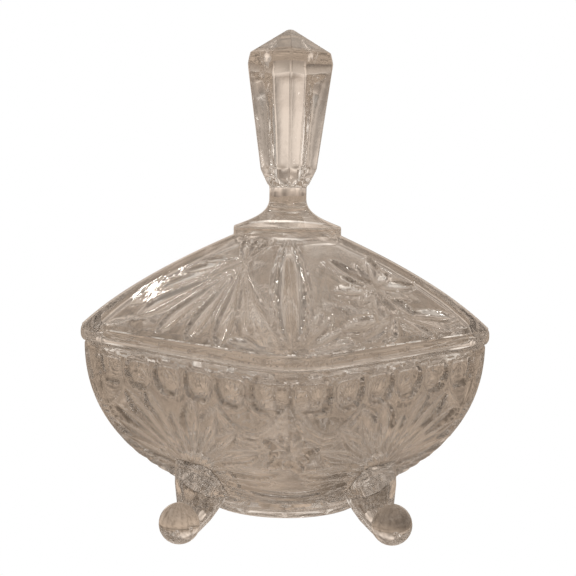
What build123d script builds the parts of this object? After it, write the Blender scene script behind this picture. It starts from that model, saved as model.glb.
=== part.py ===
from build123d import *
import math
import os

# Footed candy dish of clear pressed glass, with a loose lid. Millimetres, +Z up.
# The origin is on the table, under the middle of the dish. The straight sides of the
# rounded-square bowl run along X and Y, so its corners point along the diagonals, and
# a foot stands under the middle of each side. The bowl and its feet are one pressing,
# and so are the lid and its finial: they meet face to face here, under their own names.

# ---- driving dimensions ----
LID_REACH = 79.9             # from the axis to a corner of the lid
CORNER_SHARE = 0.32          # corner radius at the rim, as a share of half a side
RIM_Z = 69.0                 # the plane where lid and bowl meet

BOWL_REACH = 78.4            # from the axis to a corner of the bowl's rim
BOWL_DEPTH = 60.7            # height of the bowl's outer curve
BOWL_CURVE = 2.2             # 2 is an ellipse, more is fuller
BOWL_SQUARE = 6              # more keeps the plan square further down
BOWL_WALL = 5.8
FLOOR_Z = 13.6               # inner floor of the bowl
BASE_R = 31.0
BASE_Z = 6.6                 # underside of the base disc
BASE_TOP_Z = 12.0            # where the bowl's curve comes out of the disc

BALL_R = 7.5
BALL_RADIAL = 54.4           # from the dish's axis to the middle of a ball
BALL_Z = 7.1                 # less than BALL_R, which leaves a ground pad at z = 0
FOOT_BEARINGS = {"front": -90, "right": 0, "back": 90, "left": 180}
LEG_SECTIONS = [             # height, distance from the axis, depth, width, corner
    (27.0, 41.0, 19.0, 25.0, 6.0),
    (20.0, 43.0, 18.0, 20.0, 6.0),
    (13.0, 44.2, 16.5, 14.0, 5.0),
    (7.0, 48.0, 13.0, 11.0, 4.5),
    (2.6, 51.5, 8.0, 7.6, 3.4),
]

LID_EDGE = 5.6               # height of the lid's thick rim band
LID_EDGE_ROUND = 1.2
LID_WALL = 6.0
CROWN_Z = 109.7              # where the crown meets the collar
CROWN_R = 22.6
CROWN_DOME = 0.36            # 0 is a straight tent, more is rounder
CROWN_SQUARE = 3.5           # more keeps the plan square further up
FLANGE_DEPTH = 4.6
FLANGE_WALL = 4.0
FLANGE_GAP = 0.8             # play between the flange and the bowl's mouth
COLLAR_R = 20.9
COLLAR_TOP_Z = 113.6
NECK_R = 7.2
NECK_Z = 124.5               # where the neck's flare becomes straight
NECK_TOP_Z = 129.2
FLARE_PULL = [(14.5, 116.4), (NECK_R, 118.5)]

FINIAL_SIDES = 6
FINIAL_SECTIONS = [          # height, distance from the axis to a flat
    (NECK_TOP_Z, NECK_R),
    (134.8, 10.2),
    (174.8, 16.5),
    (180.0, 15.2),
    (189.0, 1.5),
]
FINIAL_TURN = -45            # turns an edge to the corner between +X and -Y

SLICES = 9                   # sections in each lofted shell
ROUNDEST = 0.96              # corner share of a plan that is nearly a circle
OVERLAP = 1.5                # how far two shapes run into each other before they join


def corner_factor(share):
    """How far a rounded square's corner reaches, for half a side of 1."""
    return math.sqrt(2) - share * (math.sqrt(2) - 1)


def plan(reach, share, z):
    """A rounded square at height z, sized by how far its corners reach."""
    half = reach / corner_factor(share)
    return Pos(0, 0, z) * RectangleRounded(2 * half, 2 * half, share * half)


def inset(reach, share, gap):
    """The reach and corner share of a rounded square, moved inwards by a gap."""
    half = reach / corner_factor(share)
    new_share = (share * half - gap) / (half - gap)
    return (half - gap) * corner_factor(new_share), new_share


def bowl_form(reach, share, depth, low):
    """A solid bowl shape from a near circle at its low end to the rim's plan."""
    sections = []
    for i in range(SLICES):
        rise = (i / (SLICES - 1)) ** 1.5
        z = low + (RIM_Z - low) * rise
        drop = (RIM_Z - z) / depth
        level_reach = reach * (1 - drop**BOWL_CURVE) ** (1 / BOWL_CURVE)
        level_share = share + (ROUNDEST - share) * (1 - rise) ** BOWL_SQUARE
        sections.append(plan(level_reach, level_share, z))
    return loft(sections)


def crown_form(reach, share, low, top_reach, top):
    """A dome from a rounded square at its low end to a near circle at its top."""
    sections = []
    for i in range(SLICES):
        rise = i / (SLICES - 1)
        fall = (1 - CROWN_DOME) * rise + CROWN_DOME * rise**2
        level_reach = reach - (reach - top_reach) * fall
        level_share = share + (ROUNDEST - share) * rise**CROWN_SQUARE
        sections.append(plan(level_reach, level_share, low + (top - low) * rise))
    return loft(sections)


def disc(radius, low, top):
    """A cylinder on the dish's axis."""
    shape = Cylinder(radius, top - low, align=(Align.CENTER, Align.CENTER, Align.MIN))
    return Pos(0, 0, low) * shape


# ---- bowl ----
def make_outer_bowl():
    """The bowl and its base disc, before the hollow is taken out."""
    curve = bowl_form(BOWL_REACH, CORNER_SHARE, BOWL_DEPTH, BASE_TOP_Z - OVERLAP)
    return curve + disc(BASE_R, BASE_Z, BASE_TOP_Z)


def make_hollow():
    """The space inside the bowl."""
    depth = RIM_Z - FLOOR_Z + 0.6
    return bowl_form(*MOUTH, depth, FLOOR_Z)


# ---- feet ----
def make_foot(bearing):
    """A leg that tapers to a ball, trimmed to the outside of the bowl it grows from."""
    leg = loft(
        [
            Pos(radial, 0, z) * RectangleRounded(depth, width, corner)
            for z, radial, depth, width, corner in LEG_SECTIONS
        ]
    )
    ball = Pos(BALL_RADIAL, 0, BALL_Z) * Sphere(BALL_R)
    table = Pos(BALL_RADIAL, 0, 0) * Box(
        40, 40, 10, align=(Align.CENTER, Align.CENTER, Align.MAX)
    )
    return Rot(0, 0, bearing) * (leg + ball - table) - outer_bowl


# ---- lid ----
def make_neck():
    """The collar disc, the concave flare and the short neck, turned about the axis."""
    low = CROWN_Z - OVERLAP
    corners = [(NECK_R, NECK_Z), (NECK_R, NECK_TOP_Z), (0, NECK_TOP_Z), (0, low)]
    outline = Polyline(*corners, (COLLAR_R, low), (COLLAR_R, COLLAR_TOP_Z))
    outline += Bezier((COLLAR_R, COLLAR_TOP_Z), *FLARE_PULL, (NECK_R, NECK_Z))
    return revolve(Plane.XZ * make_face(outline), Axis.Z)


def make_lid():
    """A thick rim band, a domed crown, a locating flange below and the neck above."""
    band = extrude(plan(LID_REACH, CORNER_SHARE, RIM_Z), LID_EDGE)
    band = fillet(band.faces().sort_by(Axis.Z)[0].edges(), LID_EDGE_ROUND)
    crown = crown_form(LID_REACH, CORNER_SHARE, RIM_Z + LID_EDGE, CROWN_R, CROWN_Z)
    flange_reach, flange_share = inset(*MOUTH, FLANGE_GAP)
    flange_low = RIM_Z - FLANGE_DEPTH
    flange = extrude(plan(flange_reach, flange_share, flange_low), FLANGE_DEPTH + OVERLAP)
    throat_reach, throat_share = inset(flange_reach, flange_share, FLANGE_WALL)
    dome_low = RIM_Z + LID_EDGE / 2
    throat = extrude(plan(throat_reach, throat_share, flange_low), dome_low - flange_low)
    dome = crown_form(
        throat_reach, throat_share, dome_low, CROWN_R - LID_WALL, CROWN_Z - LID_WALL
    )
    return band + crown + flange + make_neck() - throat - dome


# ---- finial ----
def make_finial():
    """A six-sided handle: a chamfer, a long taper, a shoulder and a pointed top."""
    levels = [
        Pos(0, 0, z)
        * RegularPolygon(flat, FINIAL_SIDES, major_radius=False, rotation=FINIAL_TURN)
        for z, flat in FINIAL_SECTIONS
    ]
    return loft(levels, ruled=True)


MOUTH = inset(BOWL_REACH, CORNER_SHARE, BOWL_WALL)
outer_bowl = make_outer_bowl()
parts = {"bowl": outer_bowl - make_hollow(), "lid": make_lid(), "finial": make_finial()}
for side, bearing in FOOT_BEARINGS.items():
    parts[f"foot_{side}"] = make_foot(bearing)

os.makedirs("parts", exist_ok=True)
for name, shape in parts.items():
    export_step(shape.solid(), f"parts/{name}.step")
    print(name, "volume", round(shape.volume), "solids", len(shape.solids()))
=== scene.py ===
"""Footed candy dish of clear pressed glass, with a loose lid: its looks, in metres."""
import logging
import math
from collections.abc import Callable
from dataclasses import dataclass, field, replace
from enum import Enum
from functools import partial

import bmesh
import bpy
from mathutils import Matrix, Vector


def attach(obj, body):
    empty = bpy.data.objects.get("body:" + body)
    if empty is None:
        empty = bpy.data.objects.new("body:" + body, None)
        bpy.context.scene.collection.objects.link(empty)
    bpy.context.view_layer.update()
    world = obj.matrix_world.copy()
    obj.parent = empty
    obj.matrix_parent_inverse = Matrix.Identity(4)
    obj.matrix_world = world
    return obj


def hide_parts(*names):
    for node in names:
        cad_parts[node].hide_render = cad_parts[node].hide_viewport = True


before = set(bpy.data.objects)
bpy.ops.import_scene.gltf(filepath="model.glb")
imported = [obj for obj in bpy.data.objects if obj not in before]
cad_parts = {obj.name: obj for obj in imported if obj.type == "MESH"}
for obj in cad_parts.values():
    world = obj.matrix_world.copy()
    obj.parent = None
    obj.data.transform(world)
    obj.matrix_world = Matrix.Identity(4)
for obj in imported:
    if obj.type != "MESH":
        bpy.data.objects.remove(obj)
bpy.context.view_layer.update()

LOG = logging.getLogger("candy_dish")
MM = 0.001
STEPS = 504                  # steps in a full turn of the spin: a multiple of 8 and of 6
RIM_Z = 69.0                 # where lid and bowl meet
ROUNDEST = 0.96              # corner share of a plan that is nearly a circle
SEAM_MM = 0.002              # points closer than this are one point, where turns meet
CREASE = 36.0                # edges that turn more than this, in degrees, stay crisp
FOOT_CREASE = 50.0

THREAD = 0.35                # height of the raised thread that a pressed cut leaves
THREAD_MM = 0.9              # and its width
SWAG_THREAD = -0.6           # height of the swag's threads, as a depth
COVE_POWER = 4               # more makes a cut's floor flatter and its walls steeper
FACET = 0.577                # half a facet of a hexagon, for a flat of 1
HEXAGON_SOFT = 0.986         # where an edge starts to round, as a share of the full corner
HEXAGON_KEEP = 0.3           # how much of the edge beyond that is left

# Painted light and shade, kept on each point and turned into the glass's base colour: higher is
# lighter.
PLAIN_SHADING = 0.72           # painted shading of plain glass, where 1 is a raised thread's painted highlight
TIP_SHADING = 0.38             # painted shading of the finial's point, darker than plain glass
SMOOTH_SHADING = 0.92          # painted shading of the fire-polished inside and rims, lighter than plain glass
FLOOR_PAINTED_LIGHT = 0.24          # painted light: how much lighter the floor of a cut is
SUNK_FULL_MM = 0.6           # depth that counts as fully pressed
STEEP_PAINTED_SHADE = 0.46            # painted shade: how much darker the steep side of a cut looks
STEEP_FULL = 0.12            # 1 - cosine of the tilt that counts as fully steep


# ---------------------------------------------------------------- plan shapes
def blend(start: tuple, end: tuple, share: float) -> tuple:
    """Values part of the way from one row of numbers to another."""
    return tuple(a + (b - a) * share for a, b in zip(start, end))


def bezier(pulls: list[tuple], share: float) -> tuple:
    """A point part of the way along the smooth curve that some points pull.

    Args:
        pulls: the points.
        share: 0 at the first point and 1 at the last.

    Returns:
        The point.
    """
    while len(pulls) > 1:
        pulls = [blend(a, b, share) for a, b in zip(pulls, pulls[1:])]
    return pulls[0]


def deepest(rises: list[float]) -> float:
    """The deepest of some cuts, or the highest thread where nothing is cut."""
    return min(rises) if min(rises) < 0 else max(rises)


def corner_factor(share: float) -> float:
    """How far a rounded square's corner reaches, for half a side of 1."""
    return math.sqrt(2) - share * (math.sqrt(2) - 1)


def inset(reach: float, share: float, gap: float) -> tuple[float, float]:
    """Moves a rounded square inwards.

    Args:
        reach: distance from the axis to a corner, mm.
        share: corner radius as a share of half a side.
        gap: how far each side moves in, mm.

    Returns:
        The new reach and the new share.
    """
    half = reach / corner_factor(share)
    new_share = min(0.999, max(0.02, (share * half - gap) / (half - gap)))
    return (half - gap) * corner_factor(new_share), new_share


def square_point(turn: float, reach: float, share: float) -> tuple[float, float, float]:
    """Finds a rounded square's outline at one angle from the middle of a side.

    Args:
        turn: angle from the side's middle, an eighth of a turn at most, in radians.
        reach: distance from the axis to a corner, mm.
        share: corner radius as a share of half a side.

    Returns:
        Radius, signed arc from the side's middle, and arc to the corner, in mm.
    """
    half = reach / corner_factor(share)
    round_r = share * half
    centre = half - round_r
    size = abs(turn)
    to_corner = centre + round_r * math.pi / 4
    if half * math.tan(size) <= centre:
        radius, along = half / math.cos(size), half * math.tan(size)
    else:
        across = centre * (math.cos(size) + math.sin(size))
        radius = across + math.sqrt(max(0.0, across**2 - 2 * centre**2 + round_r**2))
        bend = math.atan2(radius * math.sin(size) - centre, radius * math.cos(size) - centre)
        along = centre + round_r * bend
    return radius, math.copysign(along, turn), to_corner


class Plan(Enum):
    """The outline of one level, seen from above."""

    ROUND = 0
    SQUARE = 1
    HEXAGON = 2


class Skin(Enum):
    """Which pressed surface a level belongs to."""

    PLAIN = 0
    BOWL_SIDE = 1
    CROWN = 2
    BASE = 3
    FINIAL = 4
    TIP = 5


SKIN_SHADING = {Skin.PLAIN: SMOOTH_SHADING, Skin.TIP: TIP_SHADING}  # surfaces without a pattern, with their painted shading


@dataclass(frozen=True)
class Level:
    """One level of a turned glass form, in mm.

    Attributes:
        reach: distance from the axis to the outline's furthest point.
        z: height.
        plan: the outline seen from above.
        share: corner radius as a share of half a side.
        skin: the pressed surface that it belongs to.
        down: length of glass from the rim to this level, down the side's middle.
    """

    reach: float
    z: float
    plan: Plan = Plan.ROUND
    share: float = 1.0
    skin: Skin = Skin.PLAIN
    down: float = 0.0

    def half(self) -> float:
        """Half a side of a rounded square, or the reach of another plan, mm."""
        return self.reach / (corner_factor(self.share) if self.plan is Plan.SQUARE else 1.0)

    def outline(self, turn: float) -> tuple[float, float, float, int]:
        """Finds the outline at one angle.

        Args:
            turn: angle from +X, in radians.

        Returns:
            Radius, arc from the side's middle, arc to the corner, and the side's number.
        """
        side = round(turn / (math.pi / 2))
        local = turn - side * math.pi / 2
        if self.plan is Plan.SQUARE:
            radius, along, to_corner = square_point(local, self.reach, self.share)
            return radius, along, to_corner, side % 4
        if self.plan is Plan.HEXAGON:
            radius, off_flat = self.hexagon_radius(turn)
            return radius, self.reach * math.tan(off_flat), self.reach * FACET, side % 4
        return self.reach, self.reach * local, self.reach * math.pi / 4, side % 4

    def hexagon_radius(self, turn: float) -> tuple[float, float]:
        """A soft-edged hexagon's radius at an angle, and the angle from the nearest flat."""
        pitch = math.pi / 3
        edge_turn = turn + math.pi / 4
        off_flat = edge_turn - pitch / 2 - round((edge_turn - pitch / 2) / pitch) * pitch
        soft = self.reach / math.cos(pitch / 2) * HEXAGON_SOFT
        radius = self.reach / math.cos(off_flat)
        return (radius if radius < soft else soft + (radius - soft) * HEXAGON_KEEP), off_flat


# ---------------------------------------------------------------- pressed pattern
@dataclass(frozen=True)
class Leaf:
    """A lens-shaped pointed cut, as in pressed fans and stars, in mm.

    Attributes:
        root: where the leaf starts, as (across, down).
        tip: where it ends.
        half: half its width at its widest.
        depth: how deep it is pressed.
        belly: where it is widest, from 0 at the root to 1 at the tip.
        sharp: 1 for a V cut with a keel, 0 for a round cove.
    """

    root: tuple[float, float]
    tip: tuple[float, float]
    half: float
    depth: float
    belly: float = 0.6
    sharp: float = 0.5

    def height(self, across: float, down: float) -> float:
        """The leaf's height at a point, or its thread's beside it, in mm.

        Args:
            across: arc length across the side, mm.
            down: length down from the rim, mm.

        Returns:
            The height: less than 0 in the leaf and more than 0 on its thread.
        """
        run_x, run_y = self.tip[0] - self.root[0], self.tip[1] - self.root[1]
        length = math.hypot(run_x, run_y)
        off_x, off_y = across - self.root[0], down - self.root[1]
        along = (off_x * run_x + off_y * run_y) / length**2
        if not 0.0 < along < 1.0:
            return 0.0
        side = abs(off_x * run_y - off_y * run_x) / length
        swell = math.sin(math.pi * along ** (math.log(0.5) / math.log(self.belly)))
        width = self.half * swell**0.8
        if side >= width:
            return THREAD * max(0.0, 1 - (side - width) / THREAD_MM)
        share = side / width
        form = self.sharp * (1 - share) + (1 - self.sharp) * (1 - share**COVE_POWER)
        fade = (0.25 + 0.75 * swell) * min(1.0, 2 * width / self.half)
        return -self.depth * fade * form


@dataclass(frozen=True)
class Thumbprint:
    """An oval hollow with an arched top, pressed in a row under the rim, in mm.

    Attributes:
        middle: length down from the rim to its middle.
        half: half its width.
        tall: half its height.
        depth: how deep it is pressed.
        square: how square it is across, above and below its middle; 2 is an ellipse.
        floor: less makes its floor flatter.
        thread: how far its raised thread reaches, as a share of its size.
    """

    middle: float
    half: float
    tall: float
    depth: float
    square: tuple[float, float, float] = (2.6, 3.2, 2.2)
    floor: float = 0.55
    thread: float = 0.35

    def height(self, across: float, down: float) -> float:
        """The hollow's height at a point, or its thread's beside it, in mm.

        Args:
            across: arc length from the hollow's middle, mm.
            down: length down from the rim, mm.

        Returns:
            The height: less than 0 in the hollow and more than 0 on its thread.
        """
        x = abs(across) / self.half
        y = (down - self.middle) / self.tall
        wide, above, below = self.square
        spread = x**wide + abs(y) ** (above if y < 0 else below)
        if spread >= 1.0:
            return THREAD * max(0.0, 1 - (spread - 1) / self.thread)
        return -self.depth * (1 - spread) ** self.floor


@dataclass(frozen=True)
class Vein:
    """A narrow V groove along an arc, from one point to another, in mm.

    Attributes:
        start: first point, as (across, down).
        middle: the point it bends through.
        end: last point.
        half: half the groove's width.
        depth: how deep it is; a negative depth is a raised thread.
    """

    start: tuple[float, float]
    middle: tuple[float, float]
    end: tuple[float, float]
    half: float
    depth: float

    def points(self) -> list[tuple[float, float]]:
        """The groove's line as short runs."""
        pull = tuple(2 * m - 0.5 * (s + e) for s, m, e in zip(self.start, self.middle, self.end))
        return [bezier([self.start, pull, self.end], i / 12) for i in range(13)]

    def height(self, run: list[tuple[float, float]], across: float, down: float) -> float:
        """The groove's height at a point, in mm.

        Args:
            run: the groove's line.
            across: arc length across the side, mm.
            down: length down from the rim, mm.

        Returns:
            The height.
        """
        near = math.inf
        for (ax, ay), (bx, by) in zip(run, run[1:]):
            dx, dy = bx - ax, by - ay
            t = ((across - ax) * dx + (down - ay) * dy) / (dx * dx + dy * dy)
            t = min(1.0, max(0.0, t))
            near = min(near, math.hypot(across - ax - t * dx, down - ay - t * dy))
        return -self.depth * max(0.0, 1 - near / self.half)


@dataclass
class Pattern:
    """The cuts on one side of a form, with the box that each one fills."""

    boxes: list = field(default_factory=list)

    def add(self, cut: "Leaf | Vein") -> None:
        """Adds a cut and works out the box that it fills.

        Args:
            cut: the cut to add.
        """
        run = cut.points() if isinstance(cut, Vein) else [cut.root, cut.tip]
        xs, ys = zip(*run)
        edge = cut.half + THREAD_MM
        box = (min(xs) - edge, max(xs) + edge, min(ys) - edge, max(ys) + edge)
        self.boxes.append((box, cut, run))

    def fan(self, at: Callable, root: tuple[float, float], leaves: tuple, sharp: float,
            belly: float = 0.62, flip: int = 1) -> None:
        """Adds leaves that spread from one point.

        Args:
            at: gives the length down the glass at a height.
            root: the point they spread from, as (across, z).
            leaves: (tip across, tip z, half width, depth) of each leaf.
            sharp: 1 for V cuts, 0 for coves.
            belly: where each leaf is widest, from 0 at the root to 1 at the tip.
            flip: -1 turns the fan over to the other side.
        """
        foot = (flip * root[0], at(root[1]))
        for across, z, half, depth in leaves:
            self.add(Leaf(foot, (flip * across, at(z)), half, depth, belly, sharp))

    def star(self, middle: tuple[float, float], rays: tuple, count: int, depth: float,
             belly: float, sharp: float, twist: float = 0.0, squash: float = 1.0) -> None:
        """Adds leaves all round a point, long ones and short ones by turns.

        Args:
            middle: the star's middle, as (across, down).
            rays: (reach, half width) of an even ray and of an odd one.
            count: number of rays.
            depth: how deep each is.
            belly: where each ray is widest.
            sharp: 1 for V cuts, 0 for coves.
            twist: turn of the first ray, in radians.
            squash: its height for a width of 1.
        """
        for i in range(count):
            turn = math.tau * i / count + twist
            reach, half = rays[i % 2]
            tip = (middle[0] + reach * math.cos(turn),
                   middle[1] + squash * reach * math.sin(turn))
            self.add(Leaf(middle, tip, half, depth, belly, sharp))

    def mirror(self) -> None:
        """Repeats the leaves on one half of the side on its other half."""
        for _box, leaf, _run in list(self.boxes):
            if leaf.tip[0] > 0.01:
                root, tip = (-leaf.root[0], leaf.root[1]), (-leaf.tip[0], leaf.tip[1])
                self.add(replace(leaf, root=root, tip=tip))

    def height(self, across: float, down: float) -> float:
        """The pressed height at a point of the glass.

        Args:
            across: arc length across, mm.
            down: length down from the rim, mm.

        Returns:
            The deepest cut there, or the highest raised thread, mm.
        """
        rises = [0.0]
        for (x0, x1, y0, y1), cut, run in self.boxes:
            if x0 <= across <= x1 and y0 <= down <= y1:
                vein = (run,) if isinstance(cut, Vein) else ()
                rises.append(cut.height(*vein, across, down))
        return deepest(rises)


# ---------------------------------------------------------------- turned forms
def spin_chain(chain: list, angle: float, steps: int) -> bmesh.types.BMesh:
    """Spins a chain of points about the axis.

    Args:
        chain: (reach, z) of each point, mm.
        angle: how far it turns, in radians; a full turn closes on itself.
        steps: steps in that turn.

    Returns:
        The form, with the number of its point on every vertex, as "level".
    """
    bm = bmesh.new()
    mark = bm.verts.layers.int.new("level")
    verts = []
    for number, (reach, z) in enumerate(chain):
        vert = bm.verts.new((reach, 0.0, z))
        vert[mark] = number
        verts.append(vert)
    runs = [bm.edges.new(pair) for pair in zip(verts, verts[1:])]
    bmesh.ops.spin(bm, geom=verts + runs, cent=(0, 0, 0), axis=(0, 0, 1), angle=angle,
                   steps=steps, use_merge=angle == math.tau, use_duplicate=False)
    return bm


def turn_copies(bm: bmesh.types.BMesh) -> None:
    """Repeats a quarter of a form three times about the axis.

    Args:
        bm: the mesh that holds the quarter.
    """
    quarter = Matrix.Rotation(math.pi / 2, 3, "Z")
    part = bm.verts[:] + bm.edges[:] + bm.faces[:]
    for _turn in range(3):
        part = bmesh.ops.duplicate(bm, geom=part)["geom"]
        verts = [item for item in part if isinstance(item, bmesh.types.BMVert)]
        bmesh.ops.rotate(bm, verts=verts, cent=(0, 0, 0), matrix=quarter)


@dataclass
class TurnedGlass:
    """A closed glass form: a chain of levels spun about the axis, then pressed."""

    levels: list = field(default_factory=list)

    def put(self, reach: float, z: float, plan: Plan = Plan.ROUND, share: float = 1.0,
            skin: Skin = Skin.PLAIN) -> None:
        """Adds a level below or above the last one.

        Args:
            reach: distance from the axis to the outline's furthest point, mm.
            z: height, mm.
            plan: outline seen from above.
            share: corner share of the outline.
            skin: pressed surface that it belongs to.
        """
        level = Level(reach, z, plan, share, skin)
        if self.levels:
            last = self.levels[-1]
            length = math.hypot(level.half() - last.half(), z - last.z)
            level = replace(level, down=last.down + length)
        self.levels.append(level)

    def down_at(self, skin: Skin, z: float) -> float:
        """The length down the glass of one surface at a height, mm."""
        own = [level for level in self.levels if level.skin is skin]
        for a, b in zip(own, own[1:]):
            if min(a.z, b.z) <= z <= max(a.z, b.z) and a.z != b.z:
                return a.down + (b.down - a.down) * (z - a.z) / (b.z - a.z)
        return own[0].down if abs(own[0].z - z) < abs(own[-1].z - z) else own[-1].down

    def spin(self) -> bmesh.types.BMesh:
        """Spins the chain of levels and gives each ring its own outline.

        Returns:
            The closed form, in mm.
        """
        chain = [(level.reach, level.z) for level in self.levels]
        bm = spin_chain(chain, math.pi / 2, STEPS // 4)
        mark = bm.verts.layers.int["level"]
        turn_copies(bm)
        bmesh.ops.remove_doubles(bm, verts=bm.verts, dist=SEAM_MM)
        for vert in bm.verts:
            level = self.levels[vert[mark]]
            if level.reach > 1e-6:
                turn = math.atan2(vert.co.y, vert.co.x)
                radius = level.outline(turn)[0]
                vert.co.x, vert.co.y = radius * math.cos(turn), radius * math.sin(turn)
        bmesh.ops.recalc_face_normals(bm, faces=bm.faces)
        return bm

    def press(self, bm: bmesh.types.BMesh, height: Callable) -> None:
        """Presses the pattern into the form, along its own normals, and stores painted light and
        shade on each point: raised threads and cut floors lighter, steep sides of cuts darker.

        Args:
            bm: the spun form.
            height: gives the height at a level, arc, arc to the corner and side.
        """
        bm.normal_update()
        mark = bm.verts.layers.int["level"]
        # Layer for the painted light and shade of each point.
        clear = bm.verts.layers.float.new("painted_shading")
        before = {}
        for vert in bm.verts:
            level = self.levels[vert[mark]]
            if level.skin in SKIN_SHADING:
                vert[clear] = SKIN_SHADING[level.skin]
                continue
            turn = math.atan2(vert.co.y, vert.co.x)
            _radius, along, to_corner, side = level.outline(turn)
            rise = height(level, along, to_corner, side)
            before[vert] = vert.normal.copy(), rise
            vert.co += vert.normal * rise
        bm.normal_update()
        # Painted highlight on raised threads, painted light on cut floors and painted shade on
        # the steep sides of cuts.
        for vert, (normal, rise) in before.items():
            if rise > 0:
                vert[clear] = min(1.0, PLAIN_SHADING + (1 - PLAIN_SHADING) * rise / THREAD)
            else:
                steep = min(1.0, (1 - vert.normal.dot(normal)) / STEEP_FULL)
                sunk = min(1.0, -rise / SUNK_FULL_MM)
                vert[clear] = PLAIN_SHADING + FLOOR_PAINTED_LIGHT * sunk - STEEP_PAINTED_SHADE * steep


def mark_creases(bm: bmesh.types.BMesh, crease: float) -> None:
    """Smooths every face and marks the edges that stay crisp.

    Args:
        bm: the mesh.
        crease: edges that turn more than this, in degrees, stay crisp.
    """
    for face in bm.faces:
        face.smooth = True
    for edge in bm.edges:
        edge.smooth = edge.calc_face_angle(0.0) < math.radians(crease)


def to_object(bm: bmesh.types.BMesh, name: str, crease: float) -> bpy.types.Object:
    """Turns a form in mm into an object in metres.

    Args:
        bm: the form, which is freed.
        name: the object's name.
        crease: edges that turn more than this, in degrees, stay crisp.

    Returns:
        The object, at the origin.
    """
    bmesh.ops.scale(bm, vec=(MM, MM, MM), verts=bm.verts)
    # Points without a pattern get the painted shading of smooth glass.
    if bm.verts.layers.float.get("painted_shading") is None:
        clear = bm.verts.layers.float.new("painted_shading")
        for vert in bm.verts:
            vert[clear] = SMOOTH_SHADING
    mesh = bpy.data.meshes.new(name)
    bm.normal_update()
    mark_creases(bm, crease)
    bm.to_mesh(mesh)
    bm.free()
    obj = bpy.data.objects.new(name, mesh)
    bpy.context.scene.collection.objects.link(obj)
    return obj


class Joint(Enum):
    """What a tool shape does to an object."""

    ADD = "UNION"
    CUT = "DIFFERENCE"


def combine(obj: bpy.types.Object, tool: bpy.types.Object, how: Joint) -> None:
    """Joins a tool shape to an object, or cuts it away, and removes the tool.

    Args:
        obj: the object that is changed.
        tool: the shape that is added or taken away.
        how: which of the two.
    """
    cut = obj.modifiers.new("combine", "BOOLEAN")
    cut.operation, cut.solver, cut.object = how.value, "EXACT", tool
    with bpy.context.temp_override(object=obj, active_object=obj, selected_objects=[obj]):
        bpy.ops.object.modifier_apply(modifier=cut.name)
    bpy.data.objects.remove(tool)


def crisp_edges(obj: bpy.types.Object, crease: float) -> None:
    """Cuts joined faces into triangles and marks the edges that stay crisp.

    Args:
        obj: the object that is changed.
        crease: edges that turn more than this, in degrees, stay crisp.
    """
    bm = bmesh.new()
    bm.from_mesh(obj.data)
    bmesh.ops.dissolve_degenerate(bm, dist=2e-6, edges=bm.edges)
    many = [face for face in bm.faces if len(face.verts) > 4]
    bmesh.ops.triangulate(bm, faces=many)
    mark_creases(bm, crease)
    bm.to_mesh(obj.data)
    bm.free()
    obj.data.validate()


# ---------------------------------------------------------------- finishes
def linear(hex_colour: str) -> tuple[float, float, float, float]:
    """Turns an sRGB hex colour into linear values with full alpha."""
    parts = [int(hex_colour[i:i + 2], 16) / 255 for i in (0, 2, 4)]
    return (*[p / 12.92 if p <= 0.04045 else ((p + 0.055) / 1.055) ** 2.4 for p in parts], 1.0)


def add_node(tree: bpy.types.NodeTree, kind: str, settings: dict, links: dict) -> bpy.types.Node:
    """Adds one node.

    Args:
        tree: the node tree.
        kind: the node's type.
        settings: attributes by name, and socket values by number or name in "in".
        links: sockets to link from, by the name or number of this node's input.

    Returns:
        The node.
    """
    node = tree.nodes.new(kind)
    for name, value in settings.items():
        if name == "in":
            for socket, number in value.items():
                node.inputs[socket].default_value = number
        else:
            setattr(node, name, value)
    for socket, source in links.items():
        tree.links.new(source, node.inputs[socket])
    return node


def fresh_tree(block: bpy.types.ID) -> bpy.types.NodeTree:
    """Empties the node tree of a material or of the world."""
    block.use_nodes = True
    block.node_tree.nodes.clear()
    return block.node_tree


def patches(tree: bpy.types.NodeTree, place: bpy.types.NodeSocket, noise: dict,
            span: tuple) -> bpy.types.NodeSocket:
    """Adds soft light and dark patches.

    Args:
        tree: the node tree.
        place: the coordinates.
        noise: the noise's scale, detail and roughness.
        span: the lowest and highest noise, and the strengths for them.

    Returns:
        The strength.
    """
    patch = add_node(tree, "ShaderNodeTexNoise", {"in": noise}, {"Vector": place})
    ends = dict(zip(("From Min", "From Max", "To Min", "To Max"), span))
    depth = add_node(tree, "ShaderNodeMapRange", {"in": ends}, {"Value": patch.outputs["Fac"]})
    return depth.outputs["Result"]


def light_apart(tree: bpy.types.NodeTree, output: str, room: bpy.types.Node,
                seen: bpy.types.Node) -> None:
    """Ends a tree of the stage: the glass gets one shader and the camera sees another.

    Args:
        tree: the node tree.
        output: the kind of output node.
        room: the shader that lights the room and shows through the glass.
        seen: the shader that the camera sees.
    """
    path = add_node(tree, "ShaderNodeLightPath", {}, {})
    mix = add_node(tree, "ShaderNodeMixShader", {}, {
        0: path.outputs["Is Camera Ray"], 1: room.outputs[0], 2: seen.outputs[0]})
    add_node(tree, output, {}, {"Surface": mix.outputs[0]})


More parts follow.
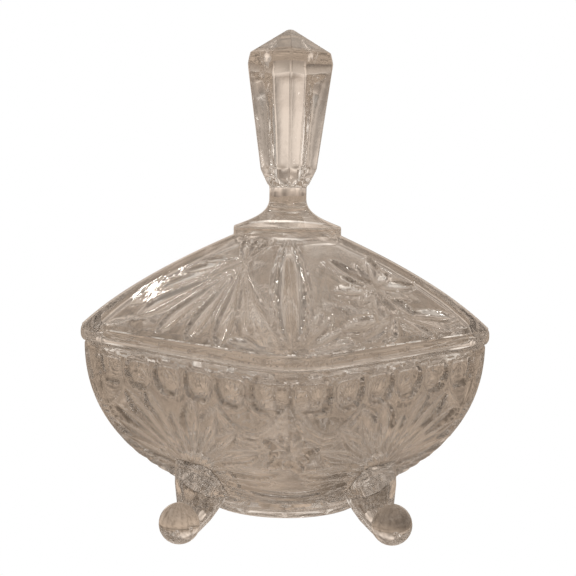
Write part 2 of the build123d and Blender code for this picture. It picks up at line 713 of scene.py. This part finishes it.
@dataclass(frozen=True)
class PressedGlass:
    """Clear soda-lime glass, pressed in an iron mould and fire-polished, with painted light and
    shade in its base colour.

    The mould leaves a slow waviness and a faint orange-peel grain, so lights break up a
    little in it.
    """

    name: str = "clear_pressed_glass"
    # White painted highlight for raised threads and dark painted shade for steep cut sides,
    # spread over the ramp.
    painted_highlight_tint: str = "FFFFFF"
    painted_shade_tint: str = "665F58"
    ior: float = 1.52
    roughness: float = 0.03
    wave_mm: float = 14.0
    wave_rise: float = 0.00035
    grain_mm: float = 2.2
    grain_rise: float = 0.00003
    ramp: tuple[float, float] = (0.1, 0.95)

    def build(self) -> bpy.types.Material:
        """Makes the material.

        Returns:
            The glass.
        """
        material = bpy.data.materials.new(self.name)
        tree = fresh_tree(material)
        place = add_node(tree, "ShaderNodeTexCoord", {}, {}).outputs["Object"]
        bumps = {}
        for size, rise, detail in ((self.wave_mm, self.wave_rise, 1.0),
                                   (self.grain_mm, self.grain_rise, 2.0)):
            noise = add_node(tree, "ShaderNodeTexNoise",
                             {"in": {"Scale": 1 / (size * MM), "Detail": detail}},
                             {"Vector": place})
            bump = add_node(tree, "ShaderNodeBump", {"in": {"Strength": 1.0, "Distance": rise}},
                            {"Height": noise.outputs["Fac"], **bumps})
            bumps = {"Normal": bump.outputs["Normal"]}
        # Painted light and shade: each point's stored value picks a base colour between the
        # painted shade tint and the painted highlight tint.
        clear = add_node(tree, "ShaderNodeAttribute", {"attribute_name": "painted_shading"}, {})
        shade = add_node(tree, "ShaderNodeValToRGB", {}, {"Fac": clear.outputs["Fac"]})
        colours = (self.painted_shade_tint, self.painted_highlight_tint)
        for stop, spot, colour in zip(shade.color_ramp.elements, self.ramp, colours):
            stop.position, stop.color = spot, linear(colour)
        glass = add_node(tree, "ShaderNodeBsdfPrincipled",
                         {"in": {"Roughness": self.roughness, "IOR": self.ior,
                                 "Transmission Weight": 1.0}},
                         {"Base Color": shade.outputs["Color"], **bumps})
        add_node(tree, "ShaderNodeOutputMaterial", {}, {"Surface": glass.outputs["BSDF"]})
        return material


# ---------------------------------------------------------------- bowl
@dataclass(frozen=True)
class Curve:
    """A curve from the rim down, square at the rim and nearly round below, in mm.

    Attributes:
        reach: reach at the rim.
        share: corner share at the rim.
        depth: height of the whole curve.
        low: height where the plan is roundest.
        bulge: more makes it fuller.
        square: more keeps it square for longer.
    """

    reach: float
    share: float
    depth: float
    low: float
    bulge: float = 2.2
    square: float = 6.0

    def level(self, z: float) -> tuple[float, float]:
        """The curve at a height.

        Args:
            z: height, mm.

        Returns:
            The reach and the corner share.
        """
        drop = (RIM_Z - z) / self.depth
        rise = min(1.0, max(0.0, (z - self.low) / (RIM_Z - self.low)))
        reach = self.reach * max(0.0, 1 - drop**self.bulge) ** (1 / self.bulge)
        return reach, self.share + (ROUNDEST - self.share) * (1 - rise) ** self.square

    def heights(self, top: float, bottom: float, rings: int, parts: int = 2000) -> list[float]:
        """Heights along the curve with even lengths of glass between them.

        Args:
            top: first height, mm.
            bottom: last height, mm.
            rings: number of steps.
            parts: number of short parts that are measured.

        Returns:
            The heights, from the top.
        """
        fine = [top + (bottom - top) * i / parts for i in range(parts + 1)]
        runs = [0.0]
        for above, z in zip(fine, fine[1:]):
            step = math.hypot(self.level(z)[0] - self.level(above)[0], (bottom - top) / parts)
            runs.append(runs[-1] + step)
        heights, i = [], 0
        for ring in range(rings + 1):
            while i < parts and runs[i] < runs[-1] * ring / rings:
                i += 1
            heights.append(fine[i])
        return heights


@dataclass
class Bowl:
    """The rounded-square bowl on its base disc, with four ball feet, as one pressing."""

    outside: Curve = Curve(78.4, 0.32, 60.7, 10.5)
    wall: float = 5.8
    floor_z: float = 13.6
    base_r: float = 31.0
    base_top_z: float = 12.0
    base_rings: tuple = (11.2, 10.3, 9.4, 8.5, 7.7)
    underside: tuple = ((30.6, 7.0), (30.0, 6.65), (28.5, 6.6), (26.0, 6.6), (25.4, 6.8),
                        (24.8, 7.5), (23.5, 7.9), (20, 8.0), (15, 8.0), (10, 8.0), (5, 8.0),
                        (1.0, 8.0), (0.0, 8.0))
    side_rings: int = 102
    hollow_rings: int = 24
    thumb_pitch: float = 16.6
    thumb_width: float = 0.88
    thumbs_to_corner: float = 3.5
    thumb_top: float = 66.6
    thumb_low: float = 54.6
    thumb_depth: float = 1.7
    scallops: int = 12
    scallop_depth: float = 1.0
    scallop_power: float = 0.7
    ring_top_z: float = 25.5
    ring_depth: float = 1.2
    ring_turn: float = 1.9
    leg_half: float = 11.5
    ring_fade: float = 3.0
    fore_fade: float = 6.0
    plain_gap: float = 5.0
    plain_fade: float = 8.0

    def form(self) -> TurnedGlass:
        """Lays out the bowl's levels, from the middle of the floor out to the base.

        Returns:
            The form, not spun yet.
        """
        out = self.outside
        below = TurnedGlass()
        for z in out.heights(RIM_Z - 1.3, self.base_top_z, self.side_rings):
            reach, share = out.level(z)
            below.put(reach, z, Plan.SQUARE, share, Skin.BOWL_SIDE)
        for z in self.base_rings:
            below.put(self.base_r, z, skin=Skin.BASE)
        for reach, z in self.underside:
            below.put(reach, z)
        glass = TurnedGlass()
        mouth = inset(out.reach, out.share, self.wall)
        hollow = Curve(*mouth, RIM_Z - self.floor_z + 0.6, self.floor_z)
        glass.put(0.0, self.floor_z)
        heights = hollow.heights(RIM_Z - 1.0, self.floor_z, self.hollow_rings)
        for z in reversed(heights[:-1]):
            reach, share = hollow.level(z)
            glass.put(reach, z, Plan.SQUARE, share)
        for gap, drop in ((self.wall - 0.35, 0.35), (self.wall - 1.1, 0.05), (1.1, 0.05),
                          (0.35, 0.4)):
            reach, share = inset(out.reach, out.share, gap)
            glass.put(reach, RIM_Z - drop, Plan.SQUARE, share)
        glass.levels.extend(below.levels)
        return glass

    def side_pattern(self, at: Callable) -> Pattern:
        """The fans over a foot, measured from the middle of a side.

        Args:
            at: gives the length down the glass at a height.

        Returns:
            The pattern.
        """
        pattern = Pattern()
        pattern.fan(at, (0.0, 26.0), (
            (0.0, 49.0, 3.6, 1.3), (13.0, 55.4, 5.0, 1.6), (25.0, 53.8, 4.6, 1.6),
            (33.5, 47.0, 3.4, 1.3), (41.5, 40.5, 3.8, 1.5), (45.0, 32.5, 3.0, 1.3)), 0.3, 0.66)
        pattern.mirror()
        return pattern

    def corner_pattern(self, at: Callable) -> Pattern:
        """The swag's threads and the long leaves, measured from a corner.

        Args:
            at: gives the length down the glass at a height.

        Returns:
            The pattern.
        """
        pattern = Pattern()
        for side in (-1, 1):
            for sink, low_z in ((0.0, 46.0), (2.3, 43.9), (4.4, 41.9)):
                pattern.add(Vein((side * 31.0, at(54.5 - sink * 0.6)), (side * 14.0, at(low_z)),
                                 (side * 2.5, at(56.0 - sink * 1.6)), 0.9, SWAG_THREAD))
            pattern.add(Leaf((side * 34.0, at(29.0)), (side * 9.0, at(33.0)), 2.6, 1.2, 0.5, 0.7))
            pattern.add(Leaf((side * 30.0, at(24.0)), (side * 5.0, at(27.5)), 2.2, 1.0, 0.5, 0.7))
        return pattern

    def make(self) -> bpy.types.Object:
        """Makes the bowl with its feet.

        Returns:
            The bowl, in metres.
        """
        glass = self.form()
        bm = glass.spin()
        at = partial(glass.down_at, Skin.BOWL_SIDE)
        side, corner, star = self.side_pattern(at), self.corner_pattern(at), Pattern()
        star.star((0.0, at(41.0)), ((7.5, 2.0), (10.5, 2.0)), 10, 1.6, 0.55, 0.8, 0.12)
        top, low = at(self.thumb_top), at(self.thumb_low)
        thumb = Thumbprint((top + low) / 2, self.thumb_width / 2 * self.thumb_pitch,
                           (low - top) / 2, self.thumb_depth)
        row = self.thumbs_to_corner * self.thumb_pitch

        def height(level: Level, along: float, to_corner: float, turned: int) -> float:
            """The pressed height at one point of the bowl."""
            if level.skin is Skin.BASE:
                lobe = abs(math.cos(self.scallops / 2 * along / self.base_r))
                return -self.scallop_depth * lobe**self.scallop_power
            from_corner = to_corner - abs(along)
            round_corner = math.copysign(from_corner, along)
            even = along * row / to_corner
            nearest = round(even / self.thumb_pitch) * self.thumb_pitch
            fore = (turned % 2 == 0) == (along < 0)
            near = from_corner / self.fore_fade
            if not fore:
                near = max(0.0, from_corner - self.plain_gap) / self.plain_fade
            near = min(1.0, near)
            rises = [near * thumb.height(even - nearest, level.down),
                     near * side.height(along, level.down),
                     (1.0 if fore else near) * corner.height(round_corner, level.down)]
            if fore:
                rises.append(star.height(round_corner, level.down))
            if level.z < self.ring_top_z:
                fade = min(1.0, (self.ring_top_z - level.z) / self.ring_fade)
                fade *= min(1.0, max(0.0, (abs(along) - self.leg_half) / self.ring_fade))
                wave = 0.5 - 0.5 * math.cos(level.down * self.ring_turn)
                rises.append(-self.ring_depth * fade * wave)
            return deepest(rises)

        glass.press(bm, height)
        bowl = to_object(bm, "bowl_glass", CREASE)
        combine(bowl, Feet().make(self.outside), Joint.ADD)
        crisp_edges(bowl, CREASE)
        return bowl


# ---------------------------------------------------------------- feet
@dataclass
class Feet:
    """Four legs that taper to balls, each under the middle of a side, in mm.

    Each section of a leg is (height, distance from the axis, depth, width).
    """

    ball_r: float = 7.5
    ball_radial: float = 54.4
    ball_z: float = 7.1
    pad_z: float = 0.02
    sections: tuple = (
        (29.5, 41.5, 14.0, 27.0), (27.0, 41.3, 18.2, 25.6), (24.0, 42.0, 18.6, 23.4),
        (20.0, 43.0, 18.4, 20.6), (16.5, 43.7, 17.6, 17.6), (13.0, 44.3, 16.8, 14.8),
        (10.0, 45.9, 15.2, 12.8), (7.0, 48.0, 13.2, 11.4), (4.6, 50.0, 10.4, 9.4),
        (2.8, 51.4, 8.2, 7.8), (2.2, 51.6, 4.0, 4.0),
    )
    sides: int = 84
    rib: float = 0.025
    boxy: float = 0.72
    root_gap: float = 3.2
    root_depth: float = 4.2
    root_heights: tuple = (14.0, 18.0, 22.0, 26.0, 30.0, 34.0)

    def leg(self) -> bmesh.types.BMesh:
        """Makes one leg about its own axis, tapering downwards.

        Returns:
            The leg on the +X side, in mm.
        """
        rows = [(*self.sections[0][:2], 0.0, 0.0)]
        for a, b in zip(self.sections, self.sections[1:]):
            rows += [blend(a, b, i / 4) for i in range(4)]
        rows += [self.sections[-1], (*self.sections[-1][:2], 0.0, 0.0)]
        chain = [(1.0 if row[2] else 0.0, row[0]) for row in rows]
        bm = spin_chain(chain, math.tau, self.sides)
        mark = bm.verts.layers.int["level"]
        bmesh.ops.remove_doubles(bm, verts=bm.verts, dist=SEAM_MM)
        for vert in bm.verts:
            _z, radial, deep, wide = rows[vert[mark]]
            turn = math.atan2(vert.co.y, vert.co.x)
            c, s = math.cos(turn), math.sin(turn)
            rib = 1 - self.rib * math.cos(turn * 4) ** 2
            vert.co.x = radial + rib * deep / 2 * math.copysign(abs(c) ** self.boxy, c)
            vert.co.y = rib * wide / 2 * math.copysign(abs(s) ** self.boxy, s)
        bmesh.ops.recalc_face_normals(bm, faces=bm.faces)
        return bm

    def ball(self) -> bmesh.types.BMesh:
        """Makes one ball with its ground pad.

        Returns:
            The ball on the +X side, in mm.
        """
        bm = bmesh.new()
        bmesh.ops.create_uvsphere(bm, u_segments=64, v_segments=40, radius=self.ball_r,
                                  matrix=Matrix.Translation((self.ball_radial, 0, self.ball_z)))
        cut = bmesh.ops.bisect_plane(bm, geom=bm.verts[:] + bm.edges[:] + bm.faces[:],
                                     plane_co=(0, 0, self.pad_z), plane_no=(0, 0, -1),
                                     clear_outer=True)
        rim = [item for item in cut["geom_cut"] if isinstance(item, bmesh.types.BMEdge)]
        bmesh.ops.contextual_create(bm, geom=rim)
        bmesh.ops.recalc_face_normals(bm, faces=bm.faces)
        return bm

    def core(self, outside: Curve) -> bmesh.types.BMesh:
        """Makes the form inside the bowl's wall that the legs stop at.

        Args:
            outside: the bowl's outside.

        Returns:
            The form, in mm.
        """
        core = TurnedGlass()
        reach, share = inset(outside.reach, outside.share, self.root_gap)
        inside = Curve(reach, share, outside.depth - self.root_depth, outside.low)
        core.put(0.0, 10.4)
        core.put(26.0, 10.4)
        for z in self.root_heights:
            level = inside.level(z)
            core.put(level[0], z, Plan.SQUARE, level[1])
        core.put(0.0, self.root_heights[-1])
        return core.spin()

    def make(self, outside: Curve) -> bpy.types.Object:
        """Makes all four feet as one shape that ends inside the bowl's wall.

        Args:
            outside: the outside of the bowl that they grow from.

        Returns:
            The feet, in metres.
        """
        foot = to_object(self.leg(), "foot", FOOT_CREASE)
        combine(foot, to_object(self.ball(), "ball", FOOT_CREASE), Joint.ADD)
        combine(foot, to_object(self.core(outside), "core", FOOT_CREASE), Joint.CUT)
        bm = bmesh.new()
        bm.from_mesh(foot.data)
        turn_copies(bm)
        bm.to_mesh(foot.data)
        bm.free()
        return foot


# ---------------------------------------------------------------- lid
@dataclass(frozen=True)
class Crown:
    """The lid's slope from the rim up to the collar, in mm.

    Attributes:
        reach: reach at the rim.
        low: height at the rim.
        top_reach: reach at the collar.
        top: height at the collar.
        share: corner share at the rim.
        dome: 0 is a straight slope, and more makes it rounder.
        square: more keeps it square for longer.
    """

    reach: float
    low: float
    top_reach: float
    top: float
    share: float
    dome: float = 0.36
    square: float = 3.5

    def level(self, rise: float) -> tuple[float, float, float]:
        """The slope's outline part of the way up.

        Args:
            rise: 0 at the rim and 1 at the collar.

        Returns:
            The reach, height and corner share.
        """
        fall = (1 - self.dome) * rise + self.dome * rise**2
        share = self.share + (ROUNDEST - self.share) * rise**self.square
        reach = self.reach - (self.reach - self.top_reach) * fall
        return reach, self.low + (self.top - self.low) * rise, share


@dataclass
class Lid:
    """The lid: thick rim band, domed crown, flange, collar, neck and six-sided finial.

    Rows of numbers are (reach, z), or (gap, z) for the band, in mm.
    """

    crown: Crown = Crown(79.9, 74.6, 22.6, 109.7, 0.32)
    wall: float = 6.0
    dome_low: float = 71.8
    flange_gap: float = 0.8
    flange_low: float = 64.4
    flange_wall: float = 4.0
    crown_rings: int = 76
    dome_rings: int = 24
    point: tuple = ((0.9, 188.95), (1.6, 188.6))
    shoulder: tuple = ((15.12, 179.35), (15.22, 179.1), (15.75, 177.0), (15.98, 175.6))
    body: tuple = ((16.05, 174.8), (10.75, 136.2))
    foot: tuple = ((10.55, 135.5), (9.8, 133.9), (8.8, 131.8), (7.9, 130.0))
    stem: tuple = ((7.35, 129.3), (7.2, 128.6), (7.2, 126.8))
    flare: tuple = ((7.2, 124.5), (7.2, 118.5), (14.5, 116.4), (20.6, 113.9))
    collar: tuple = ((20.85, 113.5), (20.9, 113.0), (20.9, 110.9), (21.0, 110.4))
    band: tuple = ((0.55, 74.5), (0.2, 73.9), (0.02, 73.0), (0.0, 72.0), (0.05, 71.0),
                   (0.3, 70.1), (0.8, 69.4), (1.7, 69.05))
    flute_depth: float = 0.45
    flute_fade: float = 2.4
    flute_width: float = 0.94
    plain_gap: float = 3.0
    plain_fade: float = 6.0

    def put_finial(self, glass: TurnedGlass) -> None:
        """Adds the levels from the finial's point down to the collar.

        Args:
            glass: the form to add to.
        """
        hexagon = Plan.HEXAGON
        glass.put(0.0, 189.0)
        for flat, z in self.point:
            glass.put(flat, z, hexagon, skin=Skin.TIP)
        for i in range(1, 6):
            glass.put(*blend(self.point[-1], self.shoulder[0], i / 6), hexagon, skin=Skin.TIP)
        for flat, z in self.shoulder:
            glass.put(flat, z, hexagon)
        for i in range(25):
            glass.put(*blend(*self.body, i / 24), hexagon, skin=Skin.FINIAL)
        for flat, z in self.foot:
            glass.put(flat, z, hexagon)
        for reach, z in (*self.stem, *[bezier(self.flare, i / 14) for i in range(15)],
                         *self.collar):
            glass.put(reach, z)

    def form(self) -> TurnedGlass:
        """Lays out the lid's levels, from the finial's point to the dome's underside.

        Returns:
            The form, not spun yet.
        """
        glass, square, crown = TurnedGlass(), Plan.SQUARE, self.crown
        self.put_finial(glass)
        for i in range(self.crown_rings):
            reach, z, share = crown.level(1 - i / self.crown_rings)
            glass.put(reach, z, square, share, Skin.CROWN)
        for gap, z in self.band:
            reach, share = inset(crown.reach, crown.share, gap)
            glass.put(reach, z, square, share)
        bowl = Bowl()
        mouth = inset(bowl.outside.reach, bowl.outside.share, bowl.wall)
        flange = inset(*mouth, self.flange_gap)
        throat = inset(*flange, self.flange_wall)
        for level, z in ((flange, 69.05), (flange, 68.4), (flange, 66.4), (flange, 64.9),
                         (inset(*flange, 0.5), self.flange_low),
                         (inset(*flange, 3.5), self.flange_low), (throat, 64.9),
                         (throat, 66.5), (throat, 69.0)):
            glass.put(level[0], z, square, level[1])
        top = crown.top - self.wall
        dome = Crown(throat[0], self.dome_low, crown.top_reach - self.wall, top, throat[1])
        for i in range(self.dome_rings + 1):
            reach, z, share = dome.level(i / self.dome_rings)
            glass.put(reach, z, square, share)
        glass.put(8.0, top)
        glass.put(0.0, top)
        return glass

    def fan_side(self, at: Callable) -> Pattern:
        """The big off-centre fan on the two opposite sides.

        Args:
            at: gives the length down the glass at a height.

        Returns:
            The pattern, from the middle of the side.
        """
        pattern = Pattern()
        pattern.fan(at, (11.5, 101.0), (
            (-22.5, 81.0, 3.6, 1.2), (-6.5, 76.2, 4.0, 1.3), (11.0, 75.2, 4.2, 1.3),
            (28.0, 75.0, 4.2, 1.3), (36.5, 78.0, 2.6, 1.0), (49.0, 75.4, 4.8, 1.5)), 0.25, 0.76)
        pattern.fan(at, (8.0, 102.5), (
            (-21.0, 90.5, 2.2, 1.1), (-16.0, 96.5, 2.0, 1.0), (-12.0, 101.0, 1.8, 0.9)), 0.6)
        pattern.fan(at, (11.5, 101.0), (
            (0.5, 109.3, 2.0, 1.0), (6.8, 109.3, 1.8, 0.9), (13.0, 109.3, 1.8, 0.9)), 0.6)
        return pattern

    def star_side(self, at: Callable) -> Pattern:
        """The flower of radiating leaves on the other two sides.

        Args:
            at: gives the length down the glass at a height.

        Returns:
            The pattern, from the middle of the side.
        """
        pattern = Pattern()
        pattern.star((0.0, at(92.5)), ((24.0, 2.9), (17.0, 2.2)), 12, 1.6, 0.58, 0.6, squash=0.78)
        pattern.fan(at, (0.0, 84.0), (
            (26.0, 77.0, 2.6, 1.2), (34.0, 80.5, 2.8, 1.2), (13.0, 75.6, 2.4, 1.1)), 0.6)
        pattern.mirror()
        return pattern

    def corner_pattern(self, at: Callable) -> Pattern:
        """The spear up a corner, with the small fans at its foot.

        Args:
            at: gives the length down the glass at a height.

        Returns:
            The pattern, from the corner.
        """
        pattern = Pattern()
        pattern.add(Leaf((0.0, at(76.0)), (0.0, at(108.9)), 5.0, 1.7, 0.45, 0.25))
        for side in (-1, 1):
            pattern.fan(at, (2.0, 75.6), (
                (11.5, 87.0, 2.2, 1.2), (16.0, 85.5, 2.0, 1.1), (21.0, 81.0, 2.2, 1.1),
                (26.5, 77.2, 2.0, 1.0)), 0.7, flip=side)
            pattern.add(Vein((side * 1.5, at(108.0)), (side * 6.4, at(95.0)),
                             (side * 4.6, at(76.0)), 0.8, 0.6))
        return pattern

    def make(self) -> bpy.types.Object:
        """Makes the lid with its finial.

        Returns:
            The lid, in metres.
        """
        glass = self.form()
        bm = glass.spin()
        at = partial(glass.down_at, Skin.CROWN)
        fan, star, corner = self.fan_side(at), self.star_side(at), self.corner_pattern(at)

        def height(level: Level, along: float, to_corner: float, side: int) -> float:
            """The pressed height at one point of the lid."""
            if level.skin is Skin.FINIAL:
                top = min(1.0, (self.body[0][1] - level.z) / self.flute_fade)
                share = along / (self.flute_width * to_corner)
                return -self.flute_depth * top * max(0.0, 1 - share**2)
            from_corner = to_corner - abs(along)
            own = star if side % 2 == 0 else fan
            rises = [own.height(along, level.down)]
            if (side % 2 == 0) == (along < 0):
                rises.append(corner.height(math.copysign(from_corner, along), level.down))
            else:
                rises[0] *= min(1.0, max(0.0, from_corner - self.plain_gap) / self.plain_fade)
            return deepest(rises)

        glass.press(bm, height)
        return to_object(bm, "lid_glass", CREASE)


# ---------------------------------------------------------------- room
@dataclass(frozen=True)
class Lamp:
    """A soft lamp, in metres and watts, that faces the dish.

    Attributes:
        name: its name.
        place: where it stands.
        size: width and height.
        power: how strong it is.
        through: True if it also shows through the glass, as sparkles.
        colour: its colour.
        aim: the point it faces.
    """

    name: str
    place: tuple[float, float, float]
    size: tuple[float, float]
    power: float
    through: bool = False
    colour: tuple[float, float, float] = (1.0, 0.97, 0.92)
    aim: tuple[float, float, float] = (0.0, 0.0, 0.08)

    def hang(self) -> None:
        """Adds the lamp to the scene."""
        data = bpy.data.lights.new(self.name, "AREA")
        data.shape, data.size, data.size_y = "RECTANGLE", *self.size
        data.energy, data.color = self.power, self.colour
        lamp = bpy.data.objects.new(self.name, data)
        lamp.location = self.place
        lamp.visible_transmission = self.through
        away = Vector(self.place) - Vector(self.aim)
        lamp.rotation_euler = away.to_track_quat("Z", "Y").to_euler()
        bpy.context.scene.collection.objects.link(lamp)


@dataclass
class Room:
    """The pale floor, the soft room light and the camera, which is placed in mm.

    Each sky colour has its height: 0 straight down, 0.5 level and 1 straight up.
    """

    camera_turn: float = 43.4
    camera_out: float = 426.3
    camera_z: float = 125.95
    aim_z: float = 89.63
    roll: float = 0.874
    lens: float = 68.35625
    shift: float = 0.0026041667
    floor_half: float = 3.0
    floor_colour: str = "988777"
    bounces: int = 24
    glossy_bounces: int = 12
    clamp: float = 6.0
    sky: tuple = ((0.0, "5A4D44"), (0.36, "6C5E54"), (0.475, "8C7D71"), (0.52, "B5A596"),
                  (0.60, "D6C7B9"), (0.67, "9C8D80"), (0.77, "C4B5A7"), (0.87, "F0E6DB"),
                  (1.0, "C2B3A6"))
    lamps: tuple = (
        Lamp("window", (-1.172, -0.046, 1.012), (0.20, 0.018), 0.32),
        Lamp("upper_window", (-1.128, -0.020, 1.078), (0.14, 0.012), 0.15),
        Lamp("back_glow", (0.09, 1.17, 1.03), (0.05, 0.05), 0.12, through=True),
        Lamp("side_glow", (1.2, -0.3, 0.9), (0.1, 0.1), 0.5, through=True),
    )

    def light(self) -> None:
        """Sets the soft surroundings: white behind, warm grey everywhere else."""
        world = bpy.data.worlds.new("soft_room")
        bpy.context.scene.world = world
        tree = fresh_tree(world)
        place = add_node(tree, "ShaderNodeTexCoord", {}, {}).outputs["Generated"]
        split = add_node(tree, "ShaderNodeSeparateXYZ", {}, {0: place})
        lift = add_node(tree, "ShaderNodeMapRange", {"in": {"From Min": -1.0, "From Max": 1.0}},
                        {"Value": split.outputs["Z"]})
        ramp = add_node(tree, "ShaderNodeValToRGB", {}, {"Fac": lift.outputs["Result"]})
        stops = ramp.color_ramp.elements
        for number, (spot, colour) in enumerate(self.sky[:-1]):
            stop = stops.new(spot) if number else stops[0]
            stop.color = linear(colour)
        stops[len(stops) - 1].color = linear(self.sky[-1][1])
        strength = patches(tree, place, {"Scale": 3.4, "Detail": 1.5, "Roughness": 0.5},
                           (0.36, 0.64, 0.58, 1.62))
        room = add_node(tree, "ShaderNodeBackground", {},
                        {"Color": ramp.outputs["Color"], "Strength": strength})
        seen = add_node(tree, "ShaderNodeBackground", {"in": {"Color": linear("FFFFFF")}}, {})
        light_apart(tree, "ShaderNodeOutputWorld", room, seen)

    def floor(self) -> None:
        """Lays the plain pale floor."""
        bm = bmesh.new()
        bmesh.ops.create_grid(bm, x_segments=1, y_segments=1, size=self.floor_half)
        mesh = bpy.data.meshes.new("floor")
        bm.to_mesh(mesh)
        bm.free()
        floor = bpy.data.objects.new("floor", mesh)
        bpy.context.scene.collection.objects.link(floor)
        material = bpy.data.materials.new("pale_floor")
        tree = fresh_tree(material)
        place = add_node(tree, "ShaderNodeTexCoord", {}, {}).outputs["Object"]
        strength = patches(tree, place, {"Scale": 14.0, "Detail": 2.0, "Roughness": 0.6},
                           (0.38, 0.62, 0.58, 1.9))
        room = add_node(tree, "ShaderNodeEmission", {"in": {"Color": linear(self.floor_colour)}},
                        {"Strength": strength})
        seen = add_node(tree, "ShaderNodeEmission", {"in": {"Color": linear("FFFFFF")}}, {})
        light_apart(tree, "ShaderNodeOutputMaterial", room, seen)
        mesh.materials.append(material)

    def camera(self) -> None:
        """Stands the camera at the front corner, a little above the rim."""
        turn, lean = math.radians(self.camera_turn), math.radians(self.roll)
        eye = Vector((math.sin(turn) * self.camera_out, -math.cos(turn) * self.camera_out,
                      self.camera_z))
        ahead = (Vector((0, 0, self.aim_z)) - eye).normalized()
        right = ahead.cross(Vector((0, 0, 1))).normalized()
        up = right.cross(ahead)
        right, up = (right * math.cos(lean) + up * math.sin(lean),
                     up * math.cos(lean) - right * math.sin(lean))
        data = bpy.data.cameras.new("camera")
        data.sensor_fit, data.sensor_width = "HORIZONTAL", 36.0
        data.lens, data.shift_x = self.lens, self.shift
        data.clip_start, data.clip_end = 0.01, 50
        camera = bpy.data.objects.new("camera", data)
        basis = Matrix((right, up, -ahead)).transposed().to_4x4()
        camera.matrix_world = Matrix.Translation(eye * MM) @ basis
        bpy.context.scene.collection.objects.link(camera)
        bpy.context.scene.camera = camera

    def build(self) -> None:
        """Builds the room."""
        self.light()
        self.floor()
        for lamp in self.lamps:
            lamp.hang()
        self.camera()
        scene = bpy.context.scene
        scene.view_settings.view_transform = "Standard"
        scene.cycles.max_bounces = scene.cycles.transmission_bounces = self.bounces
        scene.cycles.glossy_bounces = self.glossy_bounces
        scene.cycles.caustics_refractive = scene.cycles.caustics_reflective = True
        scene.cycles.sample_clamp_indirect = self.clamp


def main() -> None:
    """Builds the dish and its room."""
    logging.basicConfig(level=logging.INFO)
    glass = PressedGlass().build()
    pieces = (
        (Bowl().make(), "bowl", ("bowl", "foot_front", "foot_right", "foot_back", "foot_left")),
        (Lid().make(), "lid", ("lid", "finial")),
    )
    for piece, body, nodes in pieces:
        piece.data.materials.clear()
        piece.data.materials.append(glass)
        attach(piece, body)
        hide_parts(*nodes)
        piece.data.calc_loop_triangles()
        LOG.info("%s: %d triangles", piece.name, len(piece.data.loop_triangles))
    Room().build()


if __name__ == "__main__":
    main()
